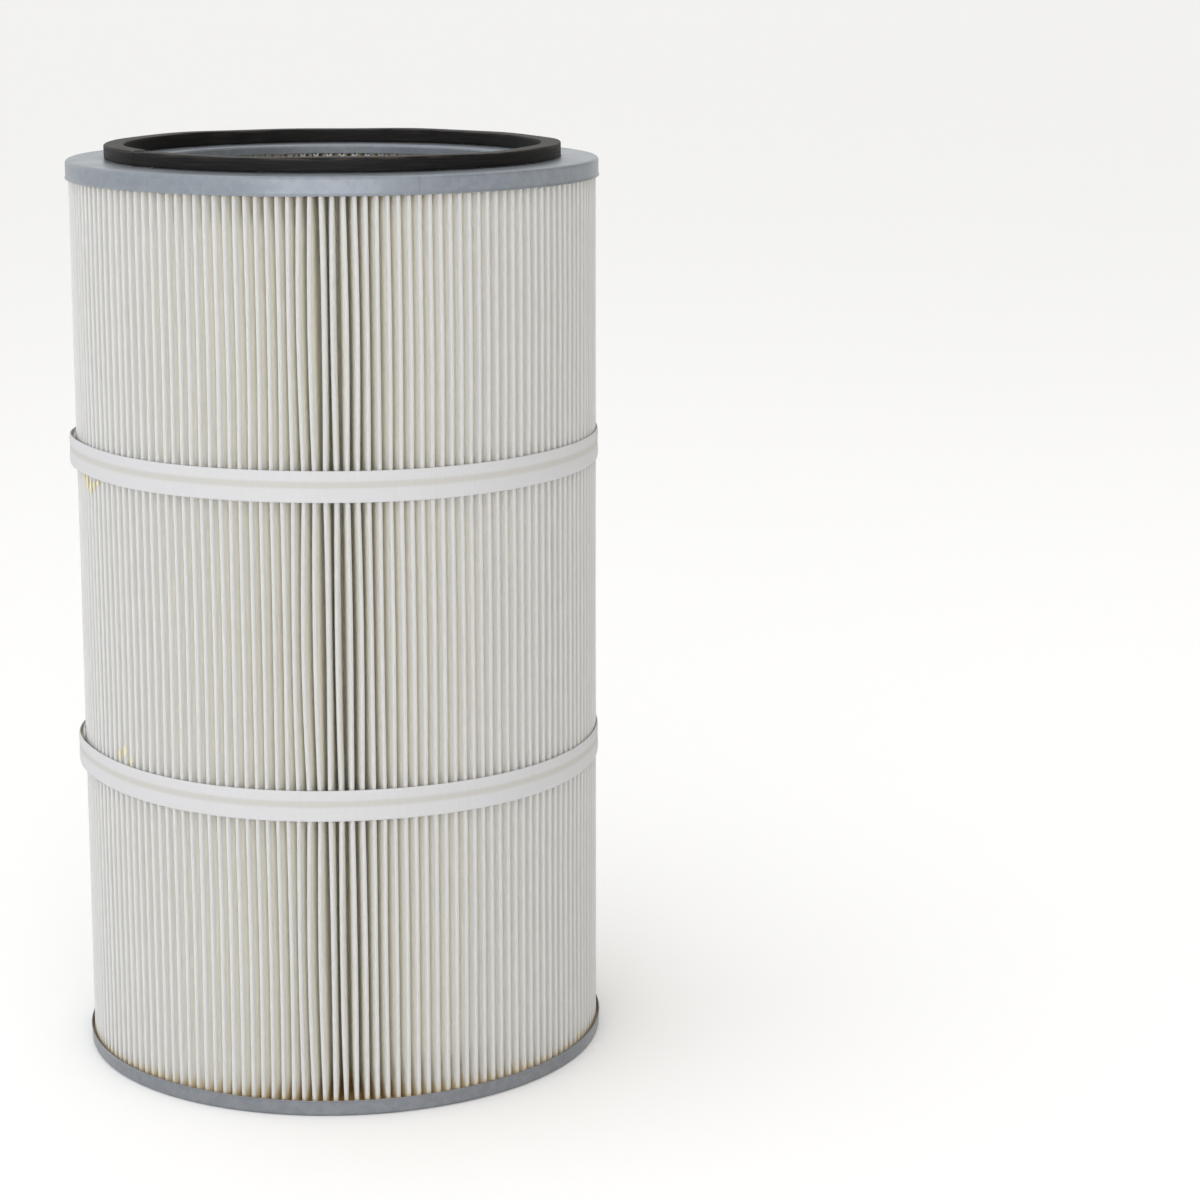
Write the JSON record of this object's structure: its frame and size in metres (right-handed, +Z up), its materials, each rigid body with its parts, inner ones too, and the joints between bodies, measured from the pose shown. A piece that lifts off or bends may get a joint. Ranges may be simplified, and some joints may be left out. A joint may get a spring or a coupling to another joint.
{
  "type": "pleated filter cartridge",
  "caption": "Upright pleated filter cartridge with pressed steel end caps, an open gasketed top, a dished closed base, an expanded-metal core and glued tape straps.",
  "frame": {"origin": "centre of the closed end cap's flat ring, on the surface that the cartridge stands on", "axes": "+Z up along the cartridge's axis, from the closed end to the open end"},
  "size_m": [0.3533, 0.351, 0.61],
  "materials": {
    "galvanised_cap": "bright galvanised pressed steel sheet",
    "expanded_steel": "galvanised expanded metal",
    "filter_cloth": "white spunbond polyester with a fine point bond",
    "strap_tape": "white woven polyester tape with fine cross ribs",
    "sponge_rubber": "matte black closed-cell sponge rubber",
    "potting_glue": "amber polyurethane potting",
    "hot_melt": "pale yellow hot-melt adhesive",
    "contact_glue": "clear contact adhesive film"
  },
  "bodies": {
    "root": {"open_end_cap": "galvanised_cap", "closed_end_cap": "galvanised_cap", "inner_core": "expanded_steel", "pleated_media": "filter_cloth", "media_seam_bead": "hot_melt", "open_end_potting": "potting_glue", "closed_end_potting": "potting_glue", "gasket": "sponge_rubber", "gasket_joint_glue": "contact_glue", "gasket_adhesive": "contact_glue", "upper_strap": "strap_tape", "lower_strap": "strap_tape", "upper_strap_hot_melt": "hot_melt", "lower_strap_hot_melt": "hot_melt", "upper_strap_end_glue": "hot_melt", "lower_strap_end_glue": "hot_melt"}
  },
  "joints": []
}
